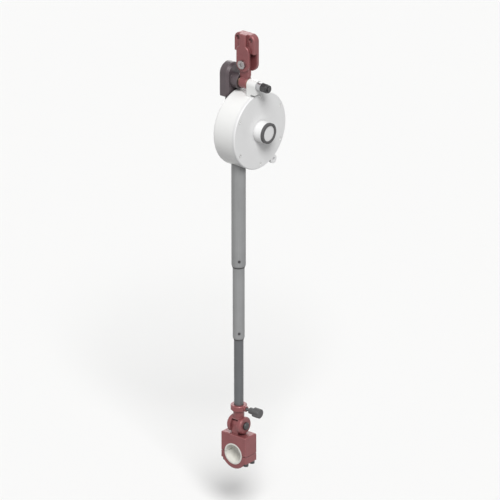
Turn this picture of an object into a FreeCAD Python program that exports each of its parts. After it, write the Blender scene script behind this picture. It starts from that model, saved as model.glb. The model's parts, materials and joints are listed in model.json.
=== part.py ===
"""Torque reaction arm: a spring-balanced telescopic arm that hangs from a beam and holds a tool.

Millimetres. Origin: centre of the two beam bolts on the bracket's mounting face.
+X runs along the beam, +Y goes into the beam, +Z is up.
"""
import FreeCAD
import Part
import Sketcher
import math
import os

V = FreeCAD.Vector
doc = FreeCAD.newDocument("torque_reaction_arm")

# Driving dimensions
SIZES = {
    # Fits
    "fit_gap": 0.02, "run_gap": 0.04, "face_gap": 0.2, "clear_gap": 0.5,
    # Beam bracket
    "plate_width": 48, "plate_depth": 13, "plate_top": 10, "plate_corner": 12, "plate_chamfer": 1.2,
    "bolt_spacing": 30, "bolt_hole_r": 4.5, "swing_drop": 48, "cheek_below": 14, "cheek_depth": 5,
    "cheek_r": 15, "cheek_corner": 16, "cheek_rise": 36, "fork_slot": 9, "slot_rise": 22, "rib_width": 15,
    # Pins of the pivots
    "pin_r": 5, "pin_head_r": 8, "pin_head": 4, "socket_r": 3.4, "socket_depth": 2.5, "pin_end": 2,
    # Gimbal block
    "tongue_r": 10, "tilt_drop": 38, "eye_r": 11, "eye_half": 9, "eye_chamfer": 1.2, "bush_wall": 2,
    "flange_wall": 3, "flange": 1,
    # Carrier
    "carrier_width": 41, "head_depth": 22, "head_rise": 12, "head_drop": 30, "arm_width": 30,
    "arm_depth": 10, "arm_below": 8, "arm_corner": 12, "carrier_chamfer": 4, "pocket_wall": 5,
    "pocket_floor": 6,
    "boss_r": 14, "carrier_screw_r": 3, "carrier_screw_head_r": 5, "carrier_screw_head": 5,
    "carrier_screw_up": 34, "carrier_screw_down": 28, "carrier_screw_pitch": 18,
    # Tilt pin hardware
    "lug_r": 10, "lug_end": 30, "spacer_wall": 3, "spacer": 8, "washer_rim": 4, "washer": 2.5,
    "tilt_head": 6.5, "nut_wall": 4.2, "nut_length": 15, "nut_dome": 4, "nut_dome_wall": 2.4,
    # Balancer housing
    "housing_r": 74, "housing_gap": 4, "housing_wall": 4, "housing_half": 26, "cover_depth": 6,
    "housing_shift": 11, "cover_chamfer": 1.5, "back_round": 5, "lug_foot_gap": 1.5, "arbor_boss_r": 12,
    "hub_r": 20, "hub_proud": 17, "hub_chamfer": 1, "hub_rim": 5, "hub_recess": 1.5, "hub_floor": 4,
    "hub_ring_width": 4.6, "hub_ring": 5,
    "ear_r": 8.3, "ear_out": 4, "ear_hole_r": 3.2, "ear_angle": -60,
    "cover_screw_in": 8, "cover_screw_r": 2, "cover_screw_head_r": 3.6, "cover_screw_head": 3,
    "cover_screw_bite": 10, "cover_boss_r": 5, "cover_boss_length": 16,
    # Drum, spring and cable
    "arbor_r": 6, "spring_hub_wall": 3, "drum_bush_wall": 3, "drum_bush_length": 10, "barrel_space": 18,
    "barrel_wall": 2.5, "barrel_depth": 14, "web": 2, "cable_line": 31, "cable_r": 1.2, "wrap_pitch": 2.6,
    "spool_half": 6.5, "spool_flange": 6, "drum_hub_wall": 5, "drum_hub": 6.5, "spring_turns": 6.5,
    "spring_band": 0.8, "spring_width": 10.5,
    # Telescopic tubes
    "outer_r": 13.5, "outer_wall": 1.25, "middle_wall": 1.25, "inner_wall": 1.5, "guide_wall": 1,
    "outer_end": 444, "middle_end": 591, "inner_end": 738, "guide_length": 30, "slider_length": 16,
    "tube_lead": 2, "socket_wall": 5.5, "end_taper": 2.5, "key_width": 2.7, "key_gap": 0.15,
    "key_depth": 0.6, "key_groove": 0.9, "set_screw_r": 2.5, "set_screw_up": 13, "set_screw_proud": 0.8,
    "set_screw_turn": -45, "anchor_length": 15, "ferrule_wall": 1.4, "ferrule_length": 8,
    # Collar and lock screw
    "collar_wall": 6.5, "collar_height": 11, "collar_chamfer": 1.2, "collar_boss_wall": 2.5,
    "collar_boss": 19, "lock_up": 5.5, "lock_r": 3, "lock_reach": 38, "grip_r": 9.5, "grip_length": 15,
    "grip_bite": 10, "grip_neck_r": 6, "grip_neck": 10, "flute_r": 4, "flute_out": 2.5,
    # Swivel head
    "stem_bush_wall": 1.5, "stem_bush_length": 34, "stem_lead": 2.5, "stem_ring": 1.2, "ring_gap": 0.3,
    "thrust_rim": 4.5, "thrust": 1.5, "shoulder_rim": 4.5, "knuckle_r": 17, "knuckle_half": 16.5,
    "knuckle_drop": 30, "knuckle_chamfer": 2, "knuckle_slot_half": 7.8, "hinge_tongue_r": 12,
    "pitch_head_r": 7.5, "pitch_head": 4, "pitch_nut": 5, "pitch_nut_wall": 3.5,
    # Tool clamp
    "clamp_bore_r": 18, "liner_wall": 3, "liner_proud": 0.5, "clamp_depth": 33, "clamp_crown": 18.5,
    "clamp_wall": 9, "clamp_split": 1, "clamp_ear": 14, "clamp_round": 3, "clamp_chamfer": 1,
    "clamp_screw_in": 4, "clamp_screw_y": 9, "clamp_screw_r": 3, "clamp_screw_head_r": 5,
    "clamp_screw_head": 6, "clamp_screw_bite": 14,
}

sheet = doc.addObject("Spreadsheet::Sheet", "sizes")
for row, (alias, number) in enumerate(SIZES.items(), start=1):
    sheet.set(f"A{row}", alias)
    sheet.set(f"B{row}", str(number))
    sheet.setAlias(f"B{row}", alias)
doc.recompute()


class Dim:
    """A size with the expression that binds it to the sheet."""

    def __init__(self, value, text):
        self.value = float(value)
        self.text = text

    def __add__(self, other):
        other = as_dim(other)
        return Dim(self.value + other.value, f"({self.text} + {other.text})")

    def __sub__(self, other):
        other = as_dim(other)
        return Dim(self.value - other.value, f"({self.text} - {other.text})")

    def __mul__(self, other):
        other = as_dim(other)
        return Dim(self.value * other.value, f"({self.text} * {other.text})")

    def __truediv__(self, other):
        other = as_dim(other)
        return Dim(self.value / other.value, f"({self.text} / {other.text})")

    def __neg__(self):
        return Dim(-self.value, f"(0 - {self.text})")

    __radd__ = __add__
    __rmul__ = __mul__


def as_dim(number):
    """A plain number as a Dim."""
    return number if isinstance(number, Dim) else Dim(number, f"({number})")


def size(alias):
    """A driving dimension by its name in the sheet."""
    return Dim(sheet.get(alias), f"sizes.{alias}")


def polar(reach, angle):
    """The two coordinates of a point at a reach and an angle in degrees."""
    angle = as_dim(angle)
    radians = math.radians(angle.value)
    across = Dim(reach.value * math.cos(radians), f"({reach.text} * cos({angle.text} * 1 deg))")
    up = Dim(reach.value * math.sin(radians), f"({reach.text} * sin({angle.text} * 1 deg))")
    return across, up


# Building blocks
TURNS = {
    "x": FreeCAD.Rotation(V(0, 1, 0), 90),
    "y": FreeCAD.Rotation(V(1, 0, 0), -90),
    "z": FreeCAD.Rotation(),
}
SOCKET_SHARE = 0.57
nodes = []
counter = [0]


def fresh_name(stem):
    """A document name that no other object has."""
    counter[0] += 1
    return f"{stem}_{counter[0]}"


def bind(item, prop, dim):
    """Set a property and tie it to the sheet."""
    item.setExpression(prop, as_dim(dim).text)


def put(item, at, turn="z"):
    """Place an object with its position tied to the sheet."""
    at = [as_dim(value) for value in at]
    rotation = TURNS[turn] if isinstance(turn, str) else turn
    item.Placement = FreeCAD.Placement(V(*[value.value for value in at]), rotation)
    for axis, value in zip("xyz", at):
        bind(item, f"Placement.Base.{axis}", value)
    return item


def cylinder(axis, radius, at, length):
    """A round bar from a start point along an axis."""
    item = doc.addObject("Part::Cylinder", fresh_name("bar"))
    bind(item, "Radius", radius)
    bind(item, "Height", length)
    return put(item, at, axis)


def box(low, high):
    """A block between two corners."""
    item = doc.addObject("Part::Box", fresh_name("block"))
    low = [as_dim(value) for value in low]
    high = [as_dim(value) for value in high]
    for prop, start, end in zip(("Length", "Width", "Height"), low, high):
        bind(item, prop, end - start)
    return put(item, low)


def hexagon(axis, radius, at, length):
    """A six-sided bar from a start point along an axis."""
    item = doc.addObject("Part::Prism", fresh_name("hexagon"))
    item.Polygon = 6
    bind(item, "Circumradius", radius)
    bind(item, "Height", length)
    return put(item, at, axis)


def fuse(*pieces):
    """One solid from several that touch."""
    item = doc.addObject("Part::MultiFuse", fresh_name("joined"))
    item.Shapes = list(pieces)
    item.Refine = True
    return item


def cut(base, *tools):
    """A solid less one or more others."""
    item = doc.addObject("Part::Cut", fresh_name("cut"))
    item.Base = base
    item.Tool = tools[0] if len(tools) == 1 else fuse(*tools)
    item.Refine = True
    return item


def common(*pieces):
    """What several solids share."""
    item = doc.addObject("Part::MultiCommon", fresh_name("shared"))
    item.Shapes = list(pieces)
    item.Refine = True
    return item


def eased(kind, base, amount, wanted):
    """A solid with the edges that a test picks out rounded or chamfered."""
    doc.recompute()
    item = doc.addObject(kind, fresh_name("eased"))
    item.Base = base
    edges = [index for index, edge in enumerate(base.Shape.Edges, start=1) if wanted(edge)]
    item.Edges = [(index, amount.value, amount.value) for index in edges]
    return item


def rounded(base, radius, wanted):
    """Round the edges that a test picks out."""
    return eased("Part::Fillet", base, radius, wanted)


def chamfered(base, amount, wanted):
    """Chamfer the edges that a test picks out."""
    return eased("Part::Chamfer", base, amount, wanted)


def near(first, second):
    """Whether two lengths agree."""
    return abs(first - as_dim(second).value) < 1e-4


def along(edge, axis):
    """Whether an edge is a straight line along an axis."""
    if not isinstance(edge.Curve, Part.Line):
        return False
    return abs(abs(edge.Curve.Direction.dot(axis)) - 1) < 1e-6


def ring_edge(edge, radius, place=None, axis="x"):
    """Whether an edge is a circle of a radius, at a place along an axis."""
    if not isinstance(edge.Curve, Part.Circle) or not near(edge.Curve.Radius, radius):
        return False
    return place is None or near(getattr(edge.Curve.Center, axis), place)


def in_plane(edge, axis, place):
    """Whether an edge lies in a plane across an axis."""
    return all(near(getattr(point, axis), place) for point in edge.discretize(3))


def turned(profile, at, axis):
    """A body turned from a closed profile of radius and height points."""
    body = doc.addObject("PartDesign::Body", fresh_name("turned"))
    sketch = body.newObject("Sketcher::SketchObject", fresh_name("profile"))
    plane = [item for item in body.Origin.OriginFeatures if item.Role == "XZ_Plane"][0]
    sketch.AttachmentSupport = [(plane, "")]
    sketch.MapMode = "FlatFace"
    points = [(as_dim(radius), as_dim(height)) for radius, height in profile]
    places = [V(radius.value, height.value, 0) for radius, height in points]
    count = len(points)
    Line, Constraint = Part.LineSegment, Sketcher.Constraint
    sketch.addGeometry([Line(places[i], places[(i + 1) % count]) for i in range(count)], False)
    for i in range(count):
        sketch.addConstraint(Constraint("Coincident", i, 2, (i + 1) % count, 1))
    for i, (radius, height) in enumerate(points):
        for kind, line, dim in (("DistanceX", -2, radius), ("DistanceY", -1, height)):
            if dim.value == 0:
                sketch.addConstraint(Constraint("PointOnObject", i, 1, line))
            else:
                index = sketch.addConstraint(Constraint(kind, -1, 1, i, 1, dim.value))
                sketch.setExpression(f"Constraints[{index}]", dim.text)
    revolution = body.newObject("PartDesign::Revolution", fresh_name("revolve"))
    revolution.Profile = sketch
    revolution.ReferenceAxis = (sketch, ["V_Axis"])
    revolution.Angle = 360
    return put(body, at, axis)


def tube(axis, outer_r, inner_r, at, length):
    """A plain tube or bush."""
    profile = [(inner_r, 0), (outer_r, 0), (outer_r, length), (inner_r, length)]
    return turned(profile, at, axis)


def node(label, piece):
    """Name a finished sub-part."""
    piece.Label = label
    nodes.append(piece)
    return piece


def group(label, pieces):
    """Name a group of separate solids as one sub-part."""
    item = doc.addObject("Part::Compound", fresh_name("group"))
    item.Links = list(pieces)
    return node(label, item)


def cap_screw(axis, sign, seat, shank_r, shank, head_r, head):
    """A socket-head screw whose head stands off its seat against the sign of the axis."""
    index = "xyz".index(axis)

    def shifted(start, length):
        at = list(seat)
        at[index] = as_dim(at[index]) + (start if sign > 0 else -(as_dim(start) + length))
        return at

    bar = cylinder(axis, shank_r, shifted(0, shank), shank)
    top = cylinder(axis, head_r, shifted(-head, head), head)
    deep = head / 2
    socket = hexagon(axis, head_r * SOCKET_SHARE, shifted(-head, deep), deep)
    return cut(fuse(bar, top), socket)


# Main places
s = size
fit, run = s("fit_gap"), s("run_gap")
pivot_y = -(s("cheek_depth") + s("fork_slot") / 2)
swing_z = -s("swing_drop")
tilt_z = swing_z - s("tilt_drop")
disc_y = pivot_y + s("housing_shift")
disc_z = tilt_z - s("boss_r") - s("housing_gap") - s("housing_r")
tube_y = disc_y - s("cable_line")
outer_end = -s("outer_end")
middle_end = -s("middle_end")
inner_end = -s("inner_end")
knuckle_z = inner_end - s("knuckle_drop")
liner_r = s("clamp_bore_r") + s("liner_wall")
clamp_top = knuckle_z - s("knuckle_r") - s("clear_gap")
clamp_z = clamp_top - s("clamp_crown") - liner_r
clamp_half = liner_r + s("clamp_wall")
bracket_front = -(2 * s("cheek_depth") + s("fork_slot"))
bush_r = s("pin_r") + s("bush_wall")
nut_r = s("pin_r") + s("nut_wall")
barrel_r = s("housing_r") - s("housing_wall") - s("barrel_space")
tongue_half = s("fork_slot") / 2 - s("face_gap")
back_x = -s("housing_half")
front_x = s("housing_half")
seam_x = front_x - s("cover_depth")
yoke_gap = s("eye_half") + s("flange") + s("face_gap")
# How far a cutting tool runs past a face
PAST = 5
X, Y = V(1, 0, 0), V(0, 1, 0)


def make_bracket():
    """Beam plate with two cheeks for the swing pin, and a stiffening rib between the bolts."""
    half = s("plate_width") / 2
    bottom = swing_z - s("cheek_below")
    plate = box((-half, -s("plate_depth"), bottom), (half, 0, s("plate_top")))
    plate = rounded(plate, s("plate_corner"), lambda e: along(e, Y) and e.CenterOfMass.z > 0)
    plate = rounded(plate, s("cheek_corner"), lambda e: along(e, Y) and e.CenterOfMass.z < swing_z.value)
    plate = chamfered(plate, s("plate_chamfer"), lambda e: in_plane(e, "y", -s("plate_depth")))
    cheek_top = swing_z + s("cheek_rise")
    depth = -bracket_front
    cheek = box((-s("cheek_r"), bracket_front, swing_z), (s("cheek_r"), -s("cheek_depth"), cheek_top))
    cheek = rounded(cheek, s("plate_corner"), lambda e: along(e, Y) and near(e.CenterOfMass.z, cheek_top))
    nose = cylinder("y", s("cheek_r"), (0, bracket_front, swing_z), depth)
    rib_half = s("rib_width") / 2
    rib = box((-rib_half, bracket_front, swing_z), (rib_half, -s("cheek_depth"), s("plate_top")))
    slot_back = -s("cheek_depth")
    slot = box((-half - PAST, slot_back - s("fork_slot"), bottom - PAST),
               (half + PAST, slot_back, swing_z + s("slot_rise")))
    pin_hole = cylinder("y", s("pin_r") + fit, (0, bracket_front - PAST, swing_z), depth + 2 * PAST)
    bolt_holes = [
        cylinder("y", s("bolt_hole_r"), (side * s("bolt_spacing") / 2, bracket_front, 0), depth + PAST)
        for side in (-1, 1)
    ]
    spine = fuse(cheek, nose, rib)
    spine = chamfered(spine, s("plate_chamfer"), lambda e: in_plane(e, "y", bracket_front))
    return node("mount_bracket", cut(fuse(plate, spine), slot, pin_hole, *bolt_holes))


def make_swing_pin():
    """Shoulder pin that the gimbal swings on, headed at the front."""
    shank = cylinder("y", s("pin_r"), (0, bracket_front, swing_z), -bracket_front - s("clear_gap"))
    head_y = bracket_front - s("pin_head")
    head = cylinder("y", s("pin_head_r"), (0, head_y, swing_z), s("pin_head"))
    socket = hexagon("y", s("socket_r"), (0, head_y, swing_z), s("socket_depth"))
    return node("swing_pin", cut(fuse(shank, head), socket))


def make_gimbal():
    """Block with a tongue for the swing pin and an eye for the tilt pin, with its bushes."""
    low_y, high_y = pivot_y - tongue_half, pivot_y + tongue_half
    r = s("tongue_r")
    tongue = fuse(
        cylinder("y", r, (0, low_y, swing_z), 2 * tongue_half),
        box((-r, low_y, tilt_z), (r, high_y, swing_z)),
    )
    eye_half = s("eye_half")
    eye = cylinder("x", s("eye_r"), (-eye_half, pivot_y, tilt_z), 2 * eye_half)
    eye = chamfered(eye, s("eye_chamfer"), lambda e: ring_edge(e, s("eye_r")))
    swing_hole = cylinder("y", bush_r, (0, low_y - PAST, swing_z), 2 * tongue_half + 2 * PAST)
    tilt_hole = cylinder("x", bush_r, (-r - PAST, pivot_y, tilt_z), 2 * r + 2 * PAST)
    waist_low, waist_high = tilt_z - s("eye_r"), tilt_z + s("boss_r") + s("clear_gap")
    waists = [
        box((near_x, low_y - PAST, waist_low), (far_x, high_y + PAST, waist_high))
        for near_x, far_x in ((eye_half, r + PAST), (-r - PAST, -eye_half))
    ]
    node("gimbal_block", cut(fuse(tongue, eye), swing_hole, tilt_hole, *waists))
    node("swing_bush", tube("y", bush_r - fit, s("pin_r") + run, (0, low_y, swing_z), 2 * tongue_half))
    inner, outer = s("pin_r") + run, bush_r - fit
    length = eye_half + s("flange") - s("clear_gap")
    flange, flange_r = s("flange"), bush_r + s("flange_wall")
    right = [(inner, 0), (outer, 0), (outer, length - flange), (flange_r, length - flange),
             (flange_r, length), (inner, length)]
    left = [(inner, 0), (flange_r, 0), (flange_r, flange), (outer, flange), (outer, length),
            (inner, length)]
    group("tilt_bushes", [
        turned(right, (s("clear_gap"), pivot_y, tilt_z), "x"),
        turned(left, (-eye_half - flange, pivot_y, tilt_z), "x"),
    ])


def carrier_screw_places():
    """Where the carrier is screwed to the housing's back."""
    half = s("carrier_screw_pitch") / 2
    rows = (disc_z + s("carrier_screw_up"), disc_z - s("carrier_screw_down"))
    return [(pivot_y + side * half, z) for z in rows for side in (-1, 1)]


def make_carrier():
    """Dark hanger behind the housing, with a boss that reaches the gimbal eye."""
    half = s("carrier_width") / 2
    head_x = back_x - s("head_depth")
    arm_x = back_x - s("arm_depth")
    neck_z = tilt_z - s("head_drop")
    crown_z = tilt_z + s("head_rise")
    head = fuse(
        cylinder("x", half, (head_x, pivot_y, crown_z), s("head_depth")),
        box((head_x, pivot_y - half, neck_z), (back_x, pivot_y + half, crown_z)),
    )

    def on_faces(edge):
        return in_plane(edge, "x", head_x) or in_plane(edge, "x", back_x)

    head = chamfered(head, s("carrier_chamfer"), on_faces)
    wall = s("pocket_wall")
    pocket_depth = s("head_depth") - s("pocket_floor")
    pocket = cut(
        fuse(
            cylinder("x", half - wall, (head_x, pivot_y, crown_z), pocket_depth),
            box((head_x, pivot_y - half + wall, neck_z + wall),
                (head_x + pocket_depth, pivot_y + half - wall, crown_z)),
        ),
        cylinder("x", s("boss_r"), (head_x - PAST, pivot_y, tilt_z), s("head_depth") + PAST),
    )
    arm_half = s("arm_width") / 2
    arm_low = disc_z - s("carrier_screw_down") - s("arm_below")
    arm = box((arm_x, pivot_y - arm_half, arm_low), (back_x, pivot_y + arm_half, neck_z + PAST))
    arm = rounded(arm, s("arm_corner"), lambda e: along(e, X) and e.CenterOfMass.z < neck_z.value)
    boss = cylinder("x", s("boss_r"), (head_x, pivot_y, tilt_z), -head_x - yoke_gap)
    pin_hole = cylinder("x", s("pin_r") + fit, (head_x - PAST, pivot_y, tilt_z), -head_x)
    screw_holes = [
        cylinder("x", s("carrier_screw_r") + s("face_gap"), (arm_x - PAST, y, z), s("arm_depth") + 2 * PAST)
        for y, z in carrier_screw_places()
    ]
    node("carrier", cut(fuse(head, arm, boss), pin_hole, pocket, *screw_holes))
    shank = s("arm_depth") + s("housing_wall") - s("clear_gap")
    group("carrier_screws", [
        cap_screw("x", 1, (arm_x, y, z), s("carrier_screw_r"), shank, s("carrier_screw_head_r"),
                  s("carrier_screw_head"))
        for y, z in carrier_screw_places()
    ])


def make_tilt_pin():
    """Bolt through carrier, gimbal eye and housing lug, with its spacer, washer and lock nut."""
    head_x = back_x - s("head_depth")
    washer_x = s("lug_end") + s("spacer")
    nut_x = washer_x + s("washer")
    end_x = nut_x + s("nut_length") + s("pin_end")
    shank = cylinder("x", s("pin_r"), (head_x, pivot_y, tilt_z), end_x - head_x)
    head = hexagon("x", nut_r, (head_x - s("tilt_head"), pivot_y, tilt_z), s("tilt_head"))
    node("tilt_pin", fuse(shank, head))
    hole_r = s("pin_r") + fit
    spacer_r, washer_r = s("pin_r") + s("spacer_wall"), s("pin_r") + s("washer_rim")
    node("tilt_spacer", tube("x", spacer_r, hole_r, (s("lug_end"), pivot_y, tilt_z), s("spacer")))
    node("tilt_washer", tube("x", washer_r, hole_r, (washer_x, pivot_y, tilt_z), s("washer")))
    flats = s("nut_length") - s("nut_dome")
    nut = fuse(
        hexagon("x", nut_r, (nut_x, pivot_y, tilt_z), flats),
        cylinder("x", s("pin_r") + s("nut_dome_wall"), (nut_x, pivot_y, tilt_z), s("nut_length")),
    )
    bore = cylinder("x", hole_r, (nut_x - PAST, pivot_y, tilt_z), s("nut_length") + 2 * PAST)
    node("tilt_nut", cut(nut, bore))


def cover_screw_places():
    """Where the cover is screwed to the housing's rim."""
    places = []
    for step in range(6):
        across, up = polar(s("housing_r") - s("cover_screw_in"), 30 + 60 * step)
        places.append((disc_y + across, disc_z + up))
    return places


socket_top = disc_z - barrel_r - s("clear_gap")


def make_housing_back():
    """Cup-shaped back shell with the tilt lug, the tube socket and the cover's screw bosses."""
    r, wall = s("housing_r"), s("housing_wall")
    depth = seam_x - back_x
    disc = cylinder("x", r, (back_x, disc_y, disc_z), depth)
    disc = rounded(disc, s("back_round"), lambda e: ring_edge(e, r, back_x))
    lug_r, lug_end = s("lug_r"), s("lug_end")
    rim_top = disc_z + r
    lug = cylinder("x", lug_r, (yoke_gap, pivot_y, tilt_z), lug_end - yoke_gap)
    web = box((yoke_gap, pivot_y - lug_r, rim_top + s("lug_foot_gap")), (lug_end, pivot_y + lug_r, tilt_z))
    foot_x = seam_x - s("face_gap")
    foot = box((yoke_gap, pivot_y - lug_r, rim_top - 2 * wall), (foot_x, pivot_y + lug_r, tilt_z))
    cavity = cylinder("x", r - wall, (back_x + wall, disc_y, disc_z), depth)
    shell = cut(fuse(disc, lug, web, foot), cavity)
    keep = cylinder("x", r - wall / 2, (back_x + wall / 2, disc_y, disc_z), depth - wall / 2)
    socket_low = disc_z - r
    socket_r = s("outer_r") + s("socket_wall")
    socket_length = socket_top - socket_low
    socket = common(cylinder("z", socket_r, (0, tube_y, socket_low), socket_length), keep)
    boss_r, boss_length = s("cover_boss_r"), s("cover_boss_length")
    bosses = [
        common(cylinder("x", boss_r, (seam_x - boss_length, y, z), boss_length), keep)
        for y, z in cover_screw_places()
    ]
    arbor_boss = cylinder("x", s("arbor_boss_r"), (back_x + wall / 2, disc_y, disc_z),
                          -s("spool_half") - s("barrel_depth") - s("face_gap") - back_x - wall / 2)
    holes = [
        cylinder("z", s("outer_r") + fit, (0, tube_y, socket_low - PAST), socket_length + 2 * PAST),
        cylinder("x", s("arbor_r") + fit, (back_x - PAST, disc_y, disc_z), depth),
        cylinder("x", s("pin_r") + fit, (0, pivot_y, tilt_z), lug_end + PAST),
    ]
    for y, z in cover_screw_places():
        bite = s("cover_screw_bite") + s("clear_gap")
        holes.append(cylinder("x", s("cover_screw_r") + fit, (seam_x - bite, y, z), bite + PAST))
    for y, z in carrier_screw_places():
        holes.append(cylinder("x", s("carrier_screw_r") + fit, (back_x - PAST, y, z), wall + 2 * PAST))
    node("housing_back", cut(fuse(shell, socket, arbor_boss, *bosses), *holes))


def make_housing_cover():
    """Front cover with the proud hub, the dark ring round its end spigot, and the safety ear."""
    r, depth, hub_r = s("housing_r"), s("cover_depth"), s("hub_r")
    top = depth + s("hub_proud")
    spigot_r = hub_r - s("hub_rim")
    spigot_end = top + s("hub_ring") - s("hub_recess")
    profile = [(0, 0), (r, 0), (r, depth), (hub_r, depth), (hub_r, top), (spigot_r, top),
               (spigot_r, spigot_end), (0, spigot_end)]
    disc = turned(profile, (seam_x, disc_y, disc_z), "x")
    across, up = polar(r + s("ear_out"), s("ear_angle"))
    ear_y, ear_z = disc_y + across, disc_z + up
    disc = chamfered(disc, s("cover_chamfer"), lambda e: ring_edge(e, r, front_x))
    disc = chamfered(disc, s("hub_chamfer"), lambda e: ring_edge(e, hub_r, seam_x + top))
    ear = cylinder("x", s("ear_r"), (seam_x, ear_y, ear_z), depth)
    ear_hole = cylinder("x", s("ear_hole_r"), (seam_x - PAST, ear_y, ear_z), depth + 2 * PAST)
    bore = cylinder("x", s("arbor_r") + fit, (seam_x - PAST, disc_y, disc_z),
                    top - s("hub_floor") + PAST)
    holes = [ear_hole, bore]
    seat_x = front_x - s("cover_screw_head")
    screw_r, sink_r = s("cover_screw_r") + s("face_gap"), s("cover_screw_head_r") + s("face_gap")
    for y, z in cover_screw_places():
        holes.append(cylinder("x", screw_r, (seam_x - PAST, y, z), depth + 2 * PAST))
        holes.append(cylinder("x", sink_r, (seat_x, y, z), PAST))
    node("housing_cover", cut(fuse(disc, ear), *holes))
    ring_at = (seam_x + top, disc_y, disc_z)
    ring_r = spigot_r + fit
    node("hub_ring", tube("x", ring_r + s("hub_ring_width"), ring_r, ring_at, s("hub_ring")))
    shank = seat_x - seam_x + s("cover_screw_bite")
    group("cover_screws", [
        cap_screw("x", -1, (seat_x, y, z), s("cover_screw_r"), shank, s("cover_screw_head_r"),
                  s("cover_screw_head"))
        for y, z in cover_screw_places()
    ])


spring_x = -s("spool_half") - s("barrel_depth")
spring_hub_r = s("arbor_r") + s("spring_hub_wall")
web_x = -s("spool_half") - s("web")


def make_arbor():
    """Fixed shaft that the drum turns on, with the hub that holds the spring's inner end."""
    r, hub_r = s("arbor_r"), spring_hub_r
    hub_start = spring_x - back_x
    hub_end = web_x - s("clear_gap") - back_x
    length = front_x + s("hub_proud") - s("hub_floor") - s("clear_gap") - back_x
    profile = [(0, 0), (r, 0), (r, hub_start), (hub_r, hub_start), (hub_r, hub_end), (r, hub_end),
               (r, length), (0, length)]
    node("arbor", turned(profile, (back_x, disc_y, disc_z), "x"))


def make_drum():
    """Spring barrel and cable spool in one turned drum, on two bushes, with the wound turns of cable."""
    barrel_in = barrel_r - s("barrel_wall")
    core = s("cable_line") - s("cable_r") - s("face_gap") / 2
    bore = s("arbor_r") + s("drum_bush_wall")
    web_back = s("barrel_depth") - s("web")
    spool_start = s("barrel_depth")
    spool_end = spool_start + 2 * s("spool_half")
    flange_end = spool_end + s("web")
    hub_end = flange_end + s("drum_hub")
    flange_r = core + s("spool_flange")
    hub_r = bore + s("drum_hub_wall")
    profile = [(barrel_in, 0), (barrel_r, 0), (barrel_r, spool_start), (core, spool_start),
               (core, spool_end), (flange_r, spool_end), (flange_r, flange_end), (hub_r, flange_end),
               (hub_r, hub_end), (bore, hub_end), (bore, web_back), (barrel_in, web_back)]
    node("cable_drum", turned(profile, (spring_x, disc_y, disc_z), "x"))
    length = s("drum_bush_length")
    starts = (web_x, spring_x + hub_end - length)
    group("drum_bushes", [
        tube("x", bore - fit, s("arbor_r") + run, (start, disc_y, disc_z), length) for start in starts
    ])
    section = [polar(s("cable_r"), 45 * step) for step in range(8)]
    wrap = [(s("cable_line") + out, s("cable_r") + side) for out, side in section]
    turns = [
        turned(wrap, (step * s("wrap_pitch") - s("cable_r"), disc_y, disc_z), "x") for step in (1, 2)
    ]
    group("cable_wraps", turns)


def make_spring():
    """Flat spiral spring of half-turn arcs, wound from the arbor's hub out to the barrel."""
    first_r = spring_hub_r.value + s("face_gap").value
    band = s("spring_band").value
    last_r = barrel_r.value - s("barrel_wall").value - s("clear_gap").value - band
    halves = round(2 * s("spring_turns").value)
    step = (last_r - first_r) / halves

    def half_turn(index, offset):
        upper = index % 2 == 0
        centre = V(0, 0 if upper else step, 0)
        r = first_r + index * step + offset
        side = 1 if upper else -1
        ends = [centre + V(0, side * r, 0), centre + V(0, -side * r, 0)]
        return Part.Arc(ends[0], centre + V(0, 0, side * r), ends[1])

    inside = [half_turn(index, 0) for index in range(halves)]
    outside = [half_turn(index, band) for index in range(halves)]
    closing = [
        Part.LineSegment(inside[0].StartPoint, outside[0].StartPoint),
        Part.LineSegment(inside[-1].EndPoint, outside[-1].EndPoint),
    ]
    edges = [curve.toShape() for curve in inside + outside + closing]
    outline = Part.Face(Part.Wire(Part.__sortEdges__(edges)))
    spring = doc.addObject("Part::Feature", "spiral_spring_band")
    spring.Shape = outline.extrude(V(s("spring_width").value, 0, 0))
    node("spiral_spring", put(spring, (spring_x + s("clear_gap"), disc_y, disc_z)))


# Telescopic tubes
outer_in = s("outer_r") - s("outer_wall")
middle_r = outer_in - s("guide_wall")
middle_in = middle_r - s("middle_wall")
inner_r = middle_in - s("guide_wall")
inner_in = inner_r - s("inner_wall")
stem_r = inner_in - s("stem_bush_wall")
collar_r = inner_r + s("collar_wall")


def tube_top(end):
    """Top of a tube that slides in the guide at the end of the tube above."""
    return end + s("guide_length") + s("face_gap") + s("slider_length") + s("tube_lead")


inner_top = tube_top(middle_end)
RADIAL = FreeCAD.Rotation(V(0, 0, 1), SIZES["set_screw_turn"]).multiply(TURNS["x"])


def stage_tube(outside, inside, low, high):
    """A tube with a tapered lower end."""
    length = high - low
    nose = outside - s("outer_wall") / 2
    profile = [(inside, 0), (nose, 0), (outside, s("end_taper")), (outside, length), (inside, length)]
    return turned(profile, (0, tube_y, low), "z")


def key_groove(outside, low, high):
    """Groove along the back of a sliding tube, which stops it turning."""
    half = s("key_width") / 2 + s("key_gap")
    floor_y = tube_y + outside - s("key_groove")
    return box((-half, floor_y, low - PAST), (half, tube_y + outside + PAST, high + PAST))


def screw_hole(end):
    """Hole for the set screw near a tube's end."""
    return cylinder(RADIAL, s("set_screw_r") + fit, (0, tube_y, end + s("set_screw_up")), 2 * s("outer_r"))


def make_guide(label, end, around, sliding):
    """Guide bush in a tube's end, with the key for the tube that slides in it."""
    length = s("guide_length")
    half = s("key_width") / 2
    bush = tube("z", around - fit, sliding + run, (0, tube_y, end), length)
    key = box((-half, tube_y + sliding - s("key_depth"), end),
              (half, tube_y + around - 2 * s("face_gap"), end + length))
    return node(label, fuse(bush, key))


def make_slider(label, end, around, sliding):
    """Ring at a sliding tube's top, which stops on the guide below it."""
    low = end + s("guide_length") + s("face_gap")
    return node(label, tube("z", around - run, sliding + fit, (0, tube_y, low), s("slider_length")))


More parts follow.
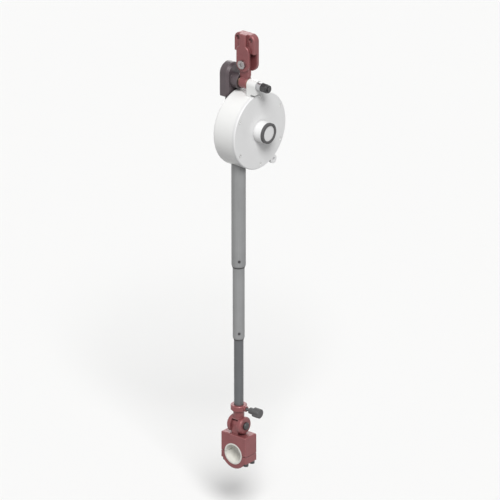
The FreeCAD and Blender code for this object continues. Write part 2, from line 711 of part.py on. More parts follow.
def make_set_screw(label, end, outside, inside):
    """Set screw that holds a guide bush in its tube."""
    across, up = polar(inside + s("face_gap") / 2, s("set_screw_turn"))
    at = (across, tube_y + up, end + s("set_screw_up"))
    length = outside - inside + s("set_screw_proud")
    body = cylinder(RADIAL, s("set_screw_r"), at, length)
    across, up = polar(inside + s("face_gap") / 2 + length / 2, s("set_screw_turn"))
    deep_at = (across, tube_y + up, end + s("set_screw_up"))
    socket = hexagon(RADIAL, s("set_screw_r") * SOCKET_SHARE, deep_at, length)
    return node(label, cut(body, socket))


def make_tubes():
    """Three tubes that slide in each other, with guides, stops and set screws."""
    outer = stage_tube(s("outer_r"), outer_in, outer_end, socket_top)
    node("outer_tube", cut(outer, screw_hole(outer_end)))
    make_guide("outer_guide", outer_end, outer_in, middle_r)
    make_set_screw("outer_set_screw", outer_end, s("outer_r"), outer_in)
    middle_top = tube_top(outer_end)
    middle = stage_tube(middle_r, middle_in, middle_end, middle_top)
    groove = key_groove(middle_r, middle_end, middle_top)
    node("middle_tube", cut(middle, groove, screw_hole(middle_end)))
    make_slider("middle_slider", outer_end, outer_in, middle_r)
    make_guide("middle_guide", middle_end, middle_in, inner_r)
    make_set_screw("middle_set_screw", middle_end, middle_r, middle_in)
    inner = tube("z", inner_r, inner_in, (0, tube_y, inner_end), inner_top - inner_end)
    groove_low = inner_end + s("collar_height") + PAST
    groove = key_groove(inner_r, groove_low + PAST, inner_top)
    node("inner_tube", cut(inner, groove, lock_hole()))
    make_slider("inner_slider", middle_end, middle_in, inner_r)


def make_cable():
    """Cable from the drum down through the tubes to its anchor at the inner tube's top."""
    bore = s("cable_r") + run
    anchor_z = inner_top - s("anchor_length")
    ferrule_z = anchor_z - s("ferrule_length")
    node("balancer_cable", cylinder("z", s("cable_r"), (0, tube_y, ferrule_z), disc_z - ferrule_z))
    node("cable_anchor", tube("z", inner_in - fit, bore, (0, tube_y, anchor_z), s("anchor_length")))
    ferrule_r = s("cable_r") + s("ferrule_wall")
    node("cable_ferrule", tube("z", ferrule_r, bore, (0, tube_y, ferrule_z), s("ferrule_length")))


lock_z = inner_end + s("lock_up")


def lock_hole():
    """Hole that the lock screw runs in."""
    return cylinder("x", s("lock_r") + run, (0, tube_y, lock_z), s("lock_reach"))


def make_collar():
    """Collar at the inner tube's end, with the bush for the swivel stem."""
    r, height = collar_r, s("collar_height")
    ring = cylinder("z", r, (0, tube_y, inner_end), height)
    ring = chamfered(ring, s("collar_chamfer"), lambda e: ring_edge(e, r))
    boss = cylinder("x", s("lock_r") + s("collar_boss_wall"), (0, tube_y, lock_z), s("collar_boss"))
    inside = cylinder("z", inner_r + fit, (0, tube_y, inner_end - PAST), height + 2 * PAST)
    node("end_collar", cut(fuse(ring, boss), inside, lock_hole()))
    bush = tube("z", inner_in - fit, stem_r + run, (0, tube_y, inner_end), s("stem_bush_length"))
    node("stem_bush", cut(bush, lock_hole()))


def make_lock():
    """Lock screw with a necked and fluted grip, which stops the swivel head turning."""
    start, reach, neck = stem_r + s("face_gap"), s("lock_reach"), s("grip_neck")
    node("lock_stud", cylinder("x", s("lock_r"), (start, tube_y, lock_z), reach + s("grip_bite") - start))
    grip = cylinder("x", s("grip_r"), (reach, tube_y, lock_z), s("grip_length"))
    end_x = reach + s("grip_length")
    grip = chamfered(grip, s("collar_chamfer"), lambda e: ring_edge(e, s("grip_r")))
    stalk = cylinder("x", s("grip_neck_r"), (reach - neck, tube_y, lock_z), neck)
    bore_at = (reach - neck - PAST, tube_y, lock_z)
    tools = [cylinder("x", s("lock_r") + fit, bore_at, neck + s("grip_bite") + PAST)]
    for step in range(6):
        across, up = polar(s("grip_r") + s("flute_out"), 60 * step)
        tools.append(cylinder("x", s("flute_r"), (reach - PAST, tube_y + across, lock_z + up),
                              end_x - reach + 2 * PAST))
    node("lock_grip", cut(fuse(grip, stalk), *tools))


def make_swivel():
    """Fork on a stem that turns in the collar, with the tool's pitch pin."""
    r, half = s("knuckle_r"), s("knuckle_half")
    top = inner_end - s("face_gap") - s("thrust")
    ring_z = inner_end + s("stem_bush_length") + s("face_gap")
    stem_top = ring_z + s("stem_ring") + s("stem_lead")
    knuckle = cylinder("x", r, (-half, tube_y, knuckle_z), 2 * half)
    knuckle = chamfered(knuckle, s("knuckle_chamfer"), lambda e: ring_edge(e, r))
    shoulder = cylinder("z", stem_r + s("shoulder_rim"), (0, tube_y, knuckle_z), top - knuckle_z)
    stem = cylinder("z", stem_r, (0, tube_y, knuckle_z), stem_top - knuckle_z)
    gap = s("knuckle_slot_half")
    slot_top = knuckle_z + s("hinge_tongue_r") + 2 * s("clear_gap")
    slot = box((-gap, tube_y - r - PAST, knuckle_z - r - PAST), (gap, tube_y + r + PAST, slot_top))
    pin_hole = cylinder("x", s("pin_r") + fit, (-half - PAST, tube_y, knuckle_z), 2 * half + 2 * PAST)
    node("swivel_fork", cut(fuse(knuckle, shoulder, stem), slot, pin_hole))
    hole_r = stem_r + fit
    node("stem_ring", tube("z", inner_in - s("ring_gap"), hole_r, (0, tube_y, ring_z), s("stem_ring")))
    node("thrust_washer", tube("z", stem_r + s("thrust_rim"), hole_r, (0, tube_y, top), s("thrust")))
    head = cylinder("x", s("pitch_head_r"), (half, tube_y, knuckle_z), s("pitch_head"))
    head_end = half + s("pitch_head")
    head = chamfered(head, s("collar_chamfer"), lambda e: ring_edge(e, s("pitch_head_r"), head_end))
    end = half + s("pitch_nut") + s("pin_end")
    shank = cylinder("x", s("pin_r"), (-end, tube_y, knuckle_z), end + half)
    node("pitch_pin", fuse(shank, head))
    nut_x = -half - s("pitch_nut")
    nut = hexagon("x", s("pin_r") + s("pitch_nut_wall"), (nut_x, tube_y, knuckle_z), s("pitch_nut"))
    bore = cylinder("x", s("pin_r") + fit, (nut_x - PAST, tube_y, knuckle_z), s("pitch_nut") + 2 * PAST)
    node("pitch_nut", cut(nut, bore))


def clamp_screw_places():
    """Where the clamp's cap is screwed on."""
    across = liner_r + s("clamp_screw_in")
    return [(a * across, tube_y + b * s("clamp_screw_y")) for a in (-1, 1) for b in (-1, 1)]


def make_clamp():
    """Split clamp for the tool, with a round-bottomed cap and a soft liner."""
    half, deep = clamp_half, s("clamp_depth") / 2
    low_y, high_y = tube_y - deep, tube_y + deep
    split = s("clamp_split") / 2
    seat_z = clamp_z - split - s("clamp_ear")
    tongue_x = s("knuckle_slot_half") - s("face_gap")
    tongue_r = s("hinge_tongue_r")
    block = box((-half, low_y, clamp_z + split), (half, high_y, clamp_top))
    block = rounded(block, s("clamp_round"), lambda e: along(e, Y) and near(e.CenterOfMass.z, clamp_top))

    def on_faces(edge):
        return in_plane(edge, "y", low_y) or in_plane(edge, "y", high_y)

    block = chamfered(block, s("clamp_chamfer"), on_faces)
    tongue = fuse(
        cylinder("x", tongue_r, (-tongue_x, tube_y, knuckle_z), 2 * tongue_x),
        box((-tongue_x, tube_y - tongue_r, clamp_top - PAST), (tongue_x, tube_y + tongue_r, knuckle_z)),
    )
    bore = cylinder("y", liner_r, (0, low_y - PAST, clamp_z), 2 * deep + 2 * PAST)
    bush_hole = cylinder("x", bush_r, (-tongue_x - PAST, tube_y, knuckle_z), 2 * tongue_x + 2 * PAST)
    tap_depth = s("clamp_screw_bite") + 2 * s("clamp_split")
    taps = [
        cylinder("z", s("clamp_screw_r") + fit, (x, y, clamp_z), tap_depth)
        for x, y in clamp_screw_places()
    ]
    node("clamp_body", cut(fuse(block, tongue), bore, bush_hole, *taps))
    bush_at = (-tongue_x, tube_y, knuckle_z)
    node("pitch_bush", tube("x", bush_r - fit, s("pin_r") + run, bush_at, 2 * tongue_x))
    under_z = clamp_z - half - PAST
    below = box((-half - PAST, low_y - PAST, under_z), (half + PAST, high_y + PAST, clamp_z - split))
    cap = fuse(
        common(cylinder("y", half, (0, low_y, clamp_z), 2 * deep), below),
        box((-half, low_y, seat_z), (half, high_y, clamp_z - split)),
    )
    cap = chamfered(cap, s("clamp_chamfer"), on_faces)
    ways = []
    for x, y in clamp_screw_places():
        hole_r, sink_r = s("clamp_screw_r") + s("face_gap"), s("clamp_screw_head_r") + s("face_gap")
        ways.append(cylinder("z", hole_r, (x, y, seat_z - PAST), clamp_z - seat_z + PAST))
        ways.append(cylinder("z", sink_r, (x, y, under_z), seat_z - under_z))
    cap_bore = cylinder("y", liner_r, (0, low_y - PAST, clamp_z), 2 * deep + 2 * PAST)
    node("clamp_cap", cut(cap, cap_bore, *ways))
    liner_deep = deep + s("liner_proud")
    liner_y = tube_y - liner_deep
    liners = []
    for low_z, high_z in ((clamp_z + split, clamp_z + half), (clamp_z - half, clamp_z - split)):
        whole = tube("y", liner_r - fit, s("clamp_bore_r"), (0, liner_y, clamp_z), 2 * liner_deep)
        side = box((-half, liner_y - PAST, low_z), (half, tube_y + liner_deep + PAST, high_z))
        liners.append(common(whole, side))
    group("clamp_liners", liners)
    shank = s("clamp_ear") + s("clamp_split") + s("clamp_screw_bite")
    group("clamp_screws", [
        cap_screw("z", 1, (x, y, seat_z), s("clamp_screw_r"), shank, s("clamp_screw_head_r"),
                  s("clamp_screw_head"))
        for x, y in clamp_screw_places()
    ])


def check_and_export():
    """Refuse a failed document, then write one file for each sub-part."""
    doc.recompute()
    for item in doc.Objects:
        if "Invalid" in item.State or "Error" in item.State:
            raise RuntimeError(f"{item.Label} failed: {item.State}")
    for piece in nodes:
        if piece.Shape.isNull() or not piece.Shape.isValid() or not piece.Shape.Solids:
            raise RuntimeError(f"{piece.Label} has no valid solid")
    os.makedirs("parts", exist_ok=True)
    for piece in nodes:
        piece.Shape.exportStep(f"parts/{piece.Label}.step")
        print(f"{piece.Label}: {len(piece.Shape.Solids)} solids, {piece.Shape.Volume:.0f} mm3")


make_bracket()
make_swing_pin()
make_gimbal()
make_carrier()
make_tilt_pin()
make_housing_back()
make_housing_cover()
make_arbor()
make_drum()
make_spring()
make_tubes()
make_cable()
make_collar()
make_lock()
make_swivel()
make_clamp()
check_and_export()
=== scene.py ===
"""Looks of the torque reaction arm: finishes, a few detailed pieces, studio light and camera."""
import json
import math

import bmesh
import bpy
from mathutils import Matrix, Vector


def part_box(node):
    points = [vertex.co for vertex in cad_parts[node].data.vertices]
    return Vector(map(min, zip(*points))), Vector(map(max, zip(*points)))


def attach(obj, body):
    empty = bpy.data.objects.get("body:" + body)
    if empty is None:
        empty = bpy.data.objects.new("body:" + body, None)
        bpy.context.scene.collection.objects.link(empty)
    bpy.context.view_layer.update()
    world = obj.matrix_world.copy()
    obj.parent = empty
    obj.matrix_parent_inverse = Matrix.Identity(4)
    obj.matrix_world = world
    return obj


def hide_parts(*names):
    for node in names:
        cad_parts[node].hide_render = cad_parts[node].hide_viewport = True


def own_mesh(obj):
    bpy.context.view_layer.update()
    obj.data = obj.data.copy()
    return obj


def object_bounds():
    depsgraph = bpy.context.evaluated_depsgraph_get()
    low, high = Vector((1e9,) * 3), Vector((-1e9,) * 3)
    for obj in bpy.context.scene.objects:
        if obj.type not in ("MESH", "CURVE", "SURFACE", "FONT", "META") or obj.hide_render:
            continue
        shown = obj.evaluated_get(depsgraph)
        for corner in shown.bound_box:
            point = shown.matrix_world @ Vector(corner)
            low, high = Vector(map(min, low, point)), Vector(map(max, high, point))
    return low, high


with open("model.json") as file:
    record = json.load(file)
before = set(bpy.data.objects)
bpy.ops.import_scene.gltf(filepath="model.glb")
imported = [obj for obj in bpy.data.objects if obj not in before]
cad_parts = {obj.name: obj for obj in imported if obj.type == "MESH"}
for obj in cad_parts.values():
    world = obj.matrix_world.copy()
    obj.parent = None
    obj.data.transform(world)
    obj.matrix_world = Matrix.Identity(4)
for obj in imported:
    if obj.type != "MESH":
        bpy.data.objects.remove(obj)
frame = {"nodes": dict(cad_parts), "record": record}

cad_low, cad_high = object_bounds()
scene = bpy.context.scene

# Camera: the photograph's angle from a long way off, framed on the arm
AZIMUTH = math.radians(40)
ELEVATION = math.radians(23)
CAMERA_DISTANCE = 9.0
CAMERA_REACH = 36.0
PICTURE_WIDTH = 0.93
SENSOR = 36.0

# Studio: floor, sky, a key light from above the camera and a fill light from behind
WHITE = (1.0, 1.0, 1.0, 1.0)
FLOOR_DROP = 0.11
FLOOR_SIZE = 60.0
FLOOR_COLOUR = (0.88, 0.88, 0.875)
FLOOR_BOUNCE = (0.30, 0.30, 0.30)
SKY_STRENGTH = 0.36
SUN_DISTANCE = 5.0
KEY_STRENGTH = 2.85
KEY_TOWARDS = (0.50, -0.46, 0.74)
KEY_ANGLE = math.radians(26)
FILL_STRENGTH = 1.2
FILL_TOWARDS = (-0.80, 0.60, 0.10)
FILL_ANGLE = math.radians(50)

# Sharp edges: how far they look broken, and how well two normals agree on a flat surface
EDGE_BREAK = 0.0006
BREAK_SAMPLES = 6
EDGE_SAMPLES = 4
EDGE_FLAT = 0.97

# Painted shade in hollows: the openness at which the painted shade is darkest, and at which there is none
HOLLOW_SAMPLES = 6
HOLLOW_CLOSED = 0.25
HOLLOW_OPEN = 0.9


# Shader building blocks
class Shader:
    """A material's node tree with short calls for the nodes used here."""

    def __init__(self, name):
        self.material = bpy.data.materials.new(name)
        self.material.use_nodes = True
        self.tree = self.material.node_tree
        self.bsdf = self.tree.nodes["Principled BSDF"]
        self.place = self.add("ShaderNodeTexCoord").outputs["Object"]

    def add(self, kind, **settings):
        """A new node with its settings."""
        item = self.tree.nodes.new(kind)
        for name, value in settings.items():
            setattr(item, name, value)
        return item

    def link(self, source, target):
        """A link from one node's output to another's input."""
        self.tree.links.new(source, target)

    def stretched(self, scale):
        """Object coordinates with a scale for each axis."""
        mapping = self.add("ShaderNodeMapping")
        self.link(self.place, mapping.inputs["Vector"])
        mapping.inputs["Scale"].default_value = scale
        return mapping.outputs["Vector"]

    def noise(self, scale, detail=3, rough=0.55, vector=None):
        """A noise pattern, with its scale in waves per metre."""
        item = self.add("ShaderNodeTexNoise")
        self.link(vector or self.place, item.inputs["Vector"])
        item.inputs["Scale"].default_value = scale
        item.inputs["Detail"].default_value = detail
        item.inputs["Roughness"].default_value = rough
        return item.outputs["Fac"]

    def spread(self, value, low, high, start=0.3, end=0.7):
        """A value between start and end brought into the range from low to high."""
        item = self.add("ShaderNodeMapRange")
        self.link(value, item.inputs["Value"])
        item.inputs["From Min"].default_value = start
        item.inputs["From Max"].default_value = end
        item.inputs["To Min"].default_value = low
        item.inputs["To Max"].default_value = high
        return item.outputs["Result"]

    def mix(self, factor, first, second):
        """Two colours mixed by a factor; each may be a colour or another node's output."""
        item = self.add("ShaderNodeMix", data_type="RGBA")
        self.link(factor, item.inputs["Factor"])
        for value, socket in ((first, item.inputs["A"]), (second, item.inputs["B"])):
            if isinstance(value, tuple):
                socket.default_value = (*value, 1.0)
            else:
                self.link(value, socket)
        return item.outputs["Result"]

    def times(self, first, second):
        """The product of two values."""
        item = self.add("ShaderNodeMath", operation="MULTIPLY")
        self.link(first, item.inputs[0])
        self.link(second, item.inputs[1])
        return item.outputs[0]

    def rounded(self, radius, samples):
        """The surface's normal with its sharp edges rounded."""
        bevel = self.add("ShaderNodeBevel", samples=samples)
        bevel.inputs["Radius"].default_value = radius
        return bevel.outputs["Normal"]

    def edges(self, radius, sharp):
        """A mask along the sharp edges of a piece, full where the normals agree less than sharp."""
        plain = self.add("ShaderNodeNewGeometry").outputs["Normal"]
        dot = self.add("ShaderNodeVectorMath", operation="DOT_PRODUCT")
        self.link(self.rounded(radius, EDGE_SAMPLES), dot.inputs[0])
        self.link(plain, dot.inputs[1])
        return self.spread(dot.outputs["Value"], low=1.0, high=0.0, start=sharp, end=EDGE_FLAT)

    def painted_hollow_shade(self, distance, most):
        """A mask in corners and gaps, where shade is painted into the colour."""
        item = self.add("ShaderNodeAmbientOcclusion", samples=HOLLOW_SAMPLES)
        item.inputs["Distance"].default_value = distance
        return self.spread(item.outputs["AO"], low=most, high=0.0, start=HOLLOW_CLOSED, end=HOLLOW_OPEN)

    def bump(self, height, strength, distance):
        """Fine relief on a surface whose sharp edges are a little broken."""
        item = self.add("ShaderNodeBump")
        item.inputs["Strength"].default_value = strength
        item.inputs["Distance"].default_value = distance
        self.link(height, item.inputs["Height"])
        self.link(self.rounded(EDGE_BREAK, BREAK_SAMPLES), item.inputs["Normal"])
        self.link(item.outputs["Normal"], self.bsdf.inputs["Normal"])

    def finish(self, colour, roughness, metallic=0.0, coat=0.0, coat_rough=0.2, specular=0.5):
        """The material, with its colour and roughness linked and the rest set."""
        self.link(colour, self.bsdf.inputs["Base Color"])
        self.link(roughness, self.bsdf.inputs["Roughness"])
        self.bsdf.inputs["Metallic"].default_value = metallic
        self.bsdf.inputs["Specular IOR Level"].default_value = specular
        self.bsdf.inputs["Coat Weight"].default_value = coat
        self.bsdf.inputs["Coat Roughness"].default_value = coat_rough
        return self.material


def shade(colour, factor):
    """A colour made lighter or darker."""
    return tuple(min(1.0, channel * factor) for channel in colour)


# Materials
def anodised(name, colour, worn, metallic=0.3):
    """Bead-blasted and dyed aluminium, rubbed paler along its edges."""
    shader = Shader(name)
    cloud = shader.spread(shader.noise(scale=38, detail=4), low=0.0, high=1.0)
    grain = shader.noise(scale=2600, detail=2)
    scuffs = shader.noise(scale=260, detail=5, rough=0.7)
    scuffs = shader.spread(scuffs, low=0.25, high=1.0, start=0.42, end=0.62)
    edge = shader.times(shader.edges(radius=0.0009, sharp=0.80), scuffs)
    tone = shader.mix(cloud, shade(colour, 0.86), shade(colour, 1.12))
    tone = shader.mix(shader.spread(grain, low=0.0, high=0.35), tone, shade(colour, 1.3))
    # Painted shade: the colour goes much darker in corners and gaps.
    tone = shader.mix(shader.painted_hollow_shade(distance=0.008, most=0.6), tone, shade(colour, 0.3))
    tone = shader.mix(edge, tone, worn)
    shader.bump(grain, strength=0.16, distance=0.00012)
    roughness = shader.spread(shader.noise(scale=120, detail=4), low=0.32, high=0.48)
    return shader.finish(tone, roughness, metallic, coat=0.2, coat_rough=0.28)


def enamel(name, colour):
    """Stoved enamel on a casting, with a fine orange peel and painted shade in its corners and gaps."""
    shader = Shader(name)
    cloud = shader.spread(shader.noise(scale=16, detail=4), low=0.0, high=1.0)
    specks = shader.noise(scale=420, detail=6, rough=0.75)
    specks = shader.spread(specks, low=0.0, high=0.5, start=0.66, end=0.78)
    tone = shader.mix(cloud, shade(colour, 0.965), shade(colour, 1.02))
    tone = shader.mix(specks, tone, shade(colour, 0.80))
    # Painted shade: the colour goes darker in corners and gaps.
    tone = shader.mix(shader.painted_hollow_shade(distance=0.006, most=0.6), tone, shade(colour, 0.4))
    shader.bump(shader.noise(scale=620, detail=2), strength=0.10, distance=0.0002)
    roughness = shader.spread(shader.noise(scale=90, detail=3), low=0.34, high=0.46)
    return shader.finish(tone, roughness, coat=0.15)


def drawn_tube(name, colour):
    """Drawn and anodised tube with fine lines along its length and faint sliding marks."""
    shader = Shader(name)
    lines = shader.noise(scale=1, detail=4, rough=0.6, vector=shader.stretched((2300, 2300, 9)))
    marks = shader.noise(scale=1, detail=3, rough=0.6, vector=shader.stretched((420, 420, 2.2)))
    marks = shader.spread(marks, low=0.0, high=0.5, start=0.60, end=0.72)
    cloud = shader.spread(shader.noise(scale=22, detail=3), low=0.0, high=1.0)
    tone = shader.mix(cloud, shade(colour, 0.90), shade(colour, 1.08))
    tone = shader.mix(shader.spread(lines, low=0.0, high=0.55), tone, shade(colour, 1.35))
    tone = shader.mix(marks, tone, shade(colour, 1.7))
    # Painted shade: the colour goes much darker in corners and gaps, such as the tube joints.
    tone = shader.mix(shader.painted_hollow_shade(distance=0.010, most=0.7), tone, shade(colour, 0.3))
    tone = shader.mix(shader.edges(radius=0.0005, sharp=0.80), tone, shade(colour, 1.8))
    shader.bump(lines, strength=0.10, distance=0.0001)
    roughness = shader.spread(lines, low=0.30, high=0.46)
    return shader.finish(tone, roughness, metallic=0.12, specular=0.25)


def machined(name, colour, rough=(0.24, 0.40), metallic=1.0):
    """Turned or ground steel with fine tool lines."""
    shader = Shader(name)
    lines = shader.noise(scale=1, detail=3, rough=0.6, vector=shader.stretched((1500, 525, 1500)))
    cloud = shader.spread(shader.noise(scale=60, detail=4), low=0.0, high=1.0)
    tone = shader.mix(cloud, shade(colour, 0.85), shade(colour, 1.1))
    tone = shader.mix(shader.edges(radius=0.0004, sharp=0.78), tone, shade(colour, 1.5))
    shader.bump(lines, strength=0.08, distance=0.00008)
    return shader.finish(tone, shader.spread(lines, *rough), metallic)


def blackened(name, colour, worn):
    """Blackened steel, rubbed bright along its edges."""
    shader = Shader(name)
    cloud = shader.spread(shader.noise(scale=150, detail=5, rough=0.65), low=0.0, high=1.0)
    rub = shader.spread(shader.noise(scale=500, detail=4), low=0.2, high=1.0)
    edge = shader.times(shader.edges(radius=0.0004, sharp=0.78), rub)
    tone = shader.mix(cloud, shade(colour, 0.75), shade(colour, 1.35))
    tone = shader.mix(edge, tone, worn)
    shader.bump(shader.noise(scale=1800, detail=2), strength=0.12, distance=0.0001)
    roughness = shader.spread(cloud, low=0.34, high=0.52, start=0.0, end=1.0)
    return shader.finish(tone, roughness, metallic=0.7)


def moulded(name, colour, grain=1500, rough=(0.48, 0.64)):
    """Moulded plastic with a fine spark-eroded grain."""
    shader = Shader(name)
    texture = shader.noise(scale=grain, detail=3, rough=0.6)
    cloud = shader.spread(shader.noise(scale=45, detail=3), low=0.0, high=1.0)
    tone = shader.mix(cloud, shade(colour, 0.88), shade(colour, 1.10))
    tone = shader.mix(shader.edges(radius=0.0005, sharp=0.80), tone, shade(colour, 1.45))
    shader.bump(texture, strength=0.22, distance=0.0002)
    return shader.finish(tone, shader.spread(texture, *rough))


# The finish of each of the record's slots
FINISHES = {
    "red_anodised": anodised("red_anodised_finish", (0.242, 0.072, 0.075), (0.55, 0.36, 0.36)),
    "dark_casting": anodised("dark_casting_finish", (0.086, 0.065, 0.072), (0.28, 0.25, 0.25), 0.2),
    "white_enamel": enamel("white_enamel_finish", (0.86, 0.86, 0.85)),
    # Painted shade: the cover is the white enamel made a little darker, for the shade on its front face.
    "cover_grey": enamel("cover_shaded_enamel_finish", (0.81, 0.81, 0.81)),
    "tube_grey": drawn_tube("tube_grey_finish", (0.285, 0.288, 0.29)),
    "tube_dark": drawn_tube("tube_dark_finish", (0.135, 0.14, 0.145)),
    "bright_steel": machined("bright_steel_finish", (0.50, 0.50, 0.51)),
    "spring_steel": machined("spring_steel_finish", (0.22, 0.21, 0.21), rough=(0.3, 0.45)),
    "bronze": machined("bronze_finish", (0.34, 0.245, 0.145), rough=(0.3, 0.45)),
    "black_steel": blackened("black_steel_finish", (0.078, 0.076, 0.078), (0.32, 0.32, 0.33)),
    "guide_plastic": moulded("guide_plastic_finish", (0.09, 0.09, 0.095)),
    "grip_plastic": moulded("grip_plastic_finish", (0.090, 0.088, 0.090)),
    "liner_plastic": moulded("liner_plastic_finish", (0.72, 0.71, 0.66), grain=900, rough=(0.42, 0.55)),
}
# Nodes that look different from the rest of their slot
NODE_FINISHES = {
    "cover_screws": machined("plated_steel_finish", (0.78, 0.78, 0.77), rough=(0.38, 0.52), metallic=0.3),
    "swing_pin": machined("ground_steel_finish", (0.37, 0.35, 0.35), rough=(0.30, 0.45)),
}


def paint_nodes():
    """Give every carried-over node its own finish, or else its slot's."""
    for entry in frame["record"]["subparts"]:
        item = frame["nodes"][entry["node"]]
        finish = NODE_FINISHES.get(entry["node"], FINISHES[entry["material_slot"]])
        for slot in item.material_slots:
            slot.material = finish
        if not item.material_slots:
            item.data.materials.append(finish)


# Mesh building blocks
def mesh_piece(name, builder, body, slot):
    """A new smooth piece from a bmesh function, riding on a body, with the finish of a slot."""
    mesh = bpy.data.meshes.new(name)
    work = bmesh.new()
    builder(work)
    bmesh.ops.recalc_face_normals(work, faces=work.faces)
    work.to_mesh(mesh)
    work.free()
    mesh.shade_smooth()
    mesh.materials.append(FINISHES[slot])
    piece = bpy.data.objects.new(name, mesh)
    scene.collection.objects.link(piece)
    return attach(piece, body)


def ring_points(centre, radius, place, sides, axis):
    """A ring of points round a centre line along Z or X, at a place on that line."""
    points = []
    for step in range(sides):
        angle = 2 * math.pi * step / sides
        across, up = radius * math.cos(angle), radius * math.sin(angle)
        if axis == "z":
            points.append((centre.x + across, centre.y + up, place))
        else:
            points.append((place, centre.y + across, centre.z + up))
    return points


def join_loops(work, lower, upper):
    """Faces between two loops of as many points."""
    count = len(lower)
    for i in range(count):
        after = (i + 1) % count
        work.faces.new((lower[i], lower[after], upper[after], upper[i]))


def add_loops(work, rings):
    """A loop of new vertices for each ring of points."""
    return [[work.verts.new(point) for point in ring] for ring in rings]


def skin_rings(work, rings):
    """Faces between rings of points, with both ends closed."""
    loops = add_loops(work, rings)
    for lower, upper in zip(loops, loops[1:]):
        join_loops(work, lower, upper)
    work.faces.new(list(reversed(loops[0])))
    work.faces.new(loops[-1])


# Cable
CABLE_STRANDS = 6
CABLE_STRAND_POINTS = 4
CABLE_GROOVE = 0.14
CABLE_TWIST = 0.018
CABLE_RINGS = 160


def cable_mesh(work):
    """A twisted cable down the tubes, round strands showing in its section."""
    low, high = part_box("balancer_cable")
    centre = (low + high) / 2
    radius = (high.x - low.x) / 2
    count = CABLE_STRANDS * CABLE_STRAND_POINTS
    rings = []
    for step in range(CABLE_RINGS + 1):
        height = low.z + (high.z - low.z) * step / CABLE_RINGS
        turn = 2 * math.pi * (height - low.z) / CABLE_TWIST
        ring = []
        for i in range(count):
            around = 2 * math.pi * i / count
            reach = radius * (1 - CABLE_GROOVE + CABLE_GROOVE * abs(math.cos(CABLE_STRANDS * around / 2)))
            across, out = math.cos(around + turn), math.sin(around + turn)
            ring.append((centre.x + reach * across, centre.y + reach * out, height))
        rings.append(ring)
    skin_rings(work, rings)


def make_cable():
    """The balancer's twisted cable, in place of the plain one."""
    cable = mesh_piece("stranded_cable", cable_mesh, "balancer", "bright_steel")
    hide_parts("balancer_cable")
    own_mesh(cable)


# Threads
THREAD_SIDES = 32
THREAD_STEPS = 6
THREAD_DEPTH = 0.54
LOCK_PITCH = 0.001
LOCK_POINT = 0.003
PIN_RADIUS = 0.005
PIN_PITCH = 0.0015
PIN_PROUD = 0.0002
PIN_POINT = 0.0003


def thread_radius(radius, pitch, place, turn):
    """Radius of a helical thread at a place along it and a share of a turn."""
    phase = (place / pitch - turn) % 1.0
    return radius - THREAD_DEPTH * pitch * (1 - abs(2 * phase - 1))


def threaded_bar(work, centre, start, end, radius, pitch, plain_low, plain_high):
    """A bar along X, threaded from start to end and plain beyond."""
    steps = max(2, round((end - start) / pitch * THREAD_STEPS))
    rings = []
    for step in range(1, steps):
        place = start + (end - start) * step / steps
        ring = []
        for i in range(THREAD_SIDES):
            angle = 2 * math.pi * i / THREAD_SIDES
            reach = thread_radius(radius, pitch, place, i / THREAD_SIDES)
            ring.append((place, centre.y + reach * math.cos(angle), centre.z + reach * math.sin(angle)))
        rings.append(ring)
    root = radius - THREAD_DEPTH * pitch
    low = [ring_points(centre, root, place, THREAD_SIDES, "x") for place in (start - plain_low, start)]
    high = [ring_points(centre, root, place, THREAD_SIDES, "x") for place in (end, end + plain_high)]
    skin_rings(work, low + rings + high)


def make_lock_stud():
    """The lock screw with its thread showing between collar and grip."""
    low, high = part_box("lock_stud")
    centre = (low + high) / 2
    start, end = low.x + LOCK_POINT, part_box("lock_grip")[0].x
    radius = (high.y - low.y) / 2

    def build(work):
        threaded_bar(work, centre, start, end, radius, LOCK_PITCH, LOCK_POINT, high.x - end)

    stud = mesh_piece("threaded_lock_stud", build, "lock_knob", "black_steel")
    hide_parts("lock_stud")


def make_pin_end(name, pin, nut, body):
    """The turns of thread on a pin's end that stand out of its nut."""
    pin_low, pin_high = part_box(pin)
    nut_low, nut_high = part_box(nut)
    centre = (nut_low + nut_high) / 2
    if centre.x > (pin_low.x + pin_high.x) / 2:
        start, end = nut_high.x, pin_high.x
    else:
        start, end = pin_low.x, nut_low.x
    start += 2 * PIN_POINT
    end -= 2 * PIN_POINT

    def build(work):
        threaded_bar(work, centre, start, end, PIN_RADIUS + PIN_PROUD, PIN_PITCH, PIN_POINT, PIN_POINT)

    mesh_piece(name, build, body, "black_steel")


# Lip seals: the drops are how far each corner hangs below the tube's end
WIPER_GAP = 0.0003
WIPER_INSET = 0.0012
WIPER_LIP = 0.0005
WIPER_SIDE_DROP = 0.0011
WIPER_SLOPE_DROP = 0.00165
WIPER_BORE_DROP = 0.00198
WIPER_DROP = 0.0022
WIPER_SIDES = 64


def make_wiper(name, tube, slider, body):
    """A lip seal under a tube's end, round the tube that slides in it."""
    tube_low, tube_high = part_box(tube)
    slide_low, slide_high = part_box(slider)
    centre = (slide_low + slide_high) / 2
    inside = (slide_high.x - slide_low.x) / 2 + WIPER_GAP
    outside = (tube_high.x - tube_low.x) / 2 - WIPER_INSET
    outline = (
        (inside, 0.0),
        (outside, 0.0),
        (outside, WIPER_SIDE_DROP),
        (outside - WIPER_LIP, WIPER_SLOPE_DROP),
        (inside + WIPER_LIP, WIPER_DROP),
        (inside, WIPER_BORE_DROP),
    )

    def build(work):
        rings = []
        for radius, drop in outline:
            rings.append(ring_points(centre, radius, tube_low.z - drop, WIPER_SIDES, "z"))
        loops = add_loops(work, rings)
        for lower, upper in zip(loops, loops[1:] + loops[:1]):
            join_loops(work, lower, upper)

    mesh_piece(name, build, body, "grip_plastic")


# Studio and camera
def look_at(item, target):
    """Point an object's -Z axis at a place, Y up."""
    item.rotation_euler = (target - item.location).to_track_quat("-Z", "Y").to_euler()


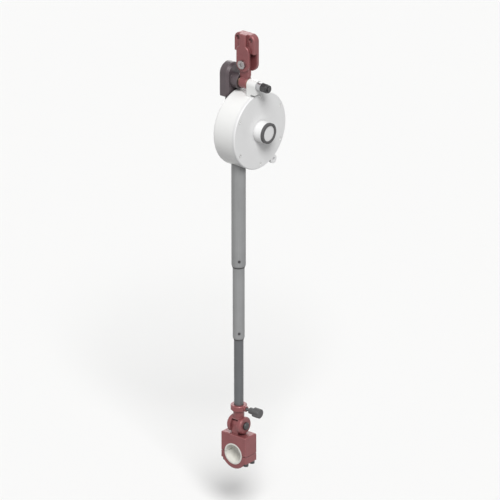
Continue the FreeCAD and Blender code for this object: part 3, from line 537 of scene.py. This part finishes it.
def make_camera():
    """A long-lens camera at the photograph's angle."""
    target = (cad_low + cad_high) / 2
    data = bpy.data.cameras.new("camera")
    data.sensor_width = SENSOR
    data.lens = SENSOR * CAMERA_DISTANCE / PICTURE_WIDTH
    data.clip_end = CAMERA_REACH
    camera = bpy.data.objects.new("camera", data)
    flat = math.cos(ELEVATION)
    away = Vector((math.sin(AZIMUTH) * flat, -math.cos(AZIMUTH) * flat, math.sin(ELEVATION)))
    camera.location = target + CAMERA_DISTANCE * away
    look_at(camera, target)
    scene.collection.objects.link(camera)
    scene.camera = camera


def seen_directly(tree):
    """Whether a ray comes from the camera, or from it by way of a reflection or of glass."""
    path = tree.nodes.new("ShaderNodeLightPath")
    result = path.outputs["Is Camera Ray"]
    for name in ("Is Glossy Ray", "Is Transmission Ray"):
        either = tree.nodes.new("ShaderNodeMath")
        either.operation = "MAXIMUM"
        tree.links.new(result, either.inputs[0])
        tree.links.new(path.outputs[name], either.inputs[1])
        result = either.outputs[0]
    return result


def mix_by_sight(tree, unseen, seen, output):
    """One shader for what is seen and another for the light that it throws."""
    mix = tree.nodes.new("ShaderNodeMixShader")
    tree.links.new(seen_directly(tree), mix.inputs["Fac"])
    tree.links.new(unseen.outputs[0], mix.inputs[1])
    tree.links.new(seen.outputs[0], mix.inputs[2])
    tree.links.new(mix.outputs[0], output.inputs["Surface"])


def floor_finish():
    """A pale matt sheet that throws little light up at the arm."""
    material = bpy.data.materials.new("floor_finish")
    material.use_nodes = True
    tree = material.node_tree
    tree.nodes.remove(tree.nodes["Principled BSDF"])
    seen = tree.nodes.new("ShaderNodeBsdfDiffuse")
    seen.inputs["Color"].default_value = (*FLOOR_COLOUR, 1.0)
    unseen = tree.nodes.new("ShaderNodeBsdfDiffuse")
    unseen.inputs["Color"].default_value = (*FLOOR_BOUNCE, 1.0)
    mix_by_sight(tree, unseen, seen, tree.nodes["Material Output"])
    return material


def make_floor():
    """A plain pale floor a little below the hanging arm."""
    mesh = bpy.data.meshes.new("floor")
    half = FLOOR_SIZE / 2
    level = cad_low.z - FLOOR_DROP
    corners = [(-half, -half, level), (half, -half, level), (half, half, level), (-half, half, level)]
    mesh.from_pydata(corners, [], [(0, 1, 2, 3)])
    mesh.materials.append(floor_finish())
    floor = bpy.data.objects.new("floor", mesh)
    scene.collection.objects.link(floor)


def make_world():
    """A soft even sky, white where the camera or a reflection meets it."""
    world = bpy.data.worlds.new("studio")
    world.use_nodes = True
    tree = world.node_tree
    sky = tree.nodes["Background"]
    sky.inputs["Color"].default_value = WHITE
    sky.inputs["Strength"].default_value = SKY_STRENGTH
    seen = tree.nodes.new("ShaderNodeBackground")
    seen.inputs["Color"].default_value = WHITE
    mix_by_sight(tree, sky, seen, tree.nodes["World Output"])
    scene.world = world


def make_sun(name, strength, towards, angle):
    """A wide soft light from far off."""
    data = bpy.data.lights.new(name, "SUN")
    data.energy = strength
    data.angle = angle
    sun = bpy.data.objects.new(name, data)
    sun.location = Vector(towards) * SUN_DISTANCE
    look_at(sun, Vector((0, 0, 0)))
    scene.collection.objects.link(sun)


scene.view_settings.view_transform = "Standard"
paint_nodes()
make_cable()
make_lock_stud()
make_pin_end("tilt_pin_thread", "tilt_pin", "tilt_nut", "balancer")
make_pin_end("pitch_pin_thread", "pitch_pin", "pitch_nut", "swivel_head")
make_wiper("outer_wiper", "outer_tube", "middle_tube", "balancer")
make_wiper("middle_wiper", "middle_tube", "inner_tube", "middle_arm")
make_floor()
make_world()
make_sun("key", KEY_STRENGTH, KEY_TOWARDS, KEY_ANGLE)
make_sun("fill", FILL_STRENGTH, FILL_TOWARDS, FILL_ANGLE)
make_camera()
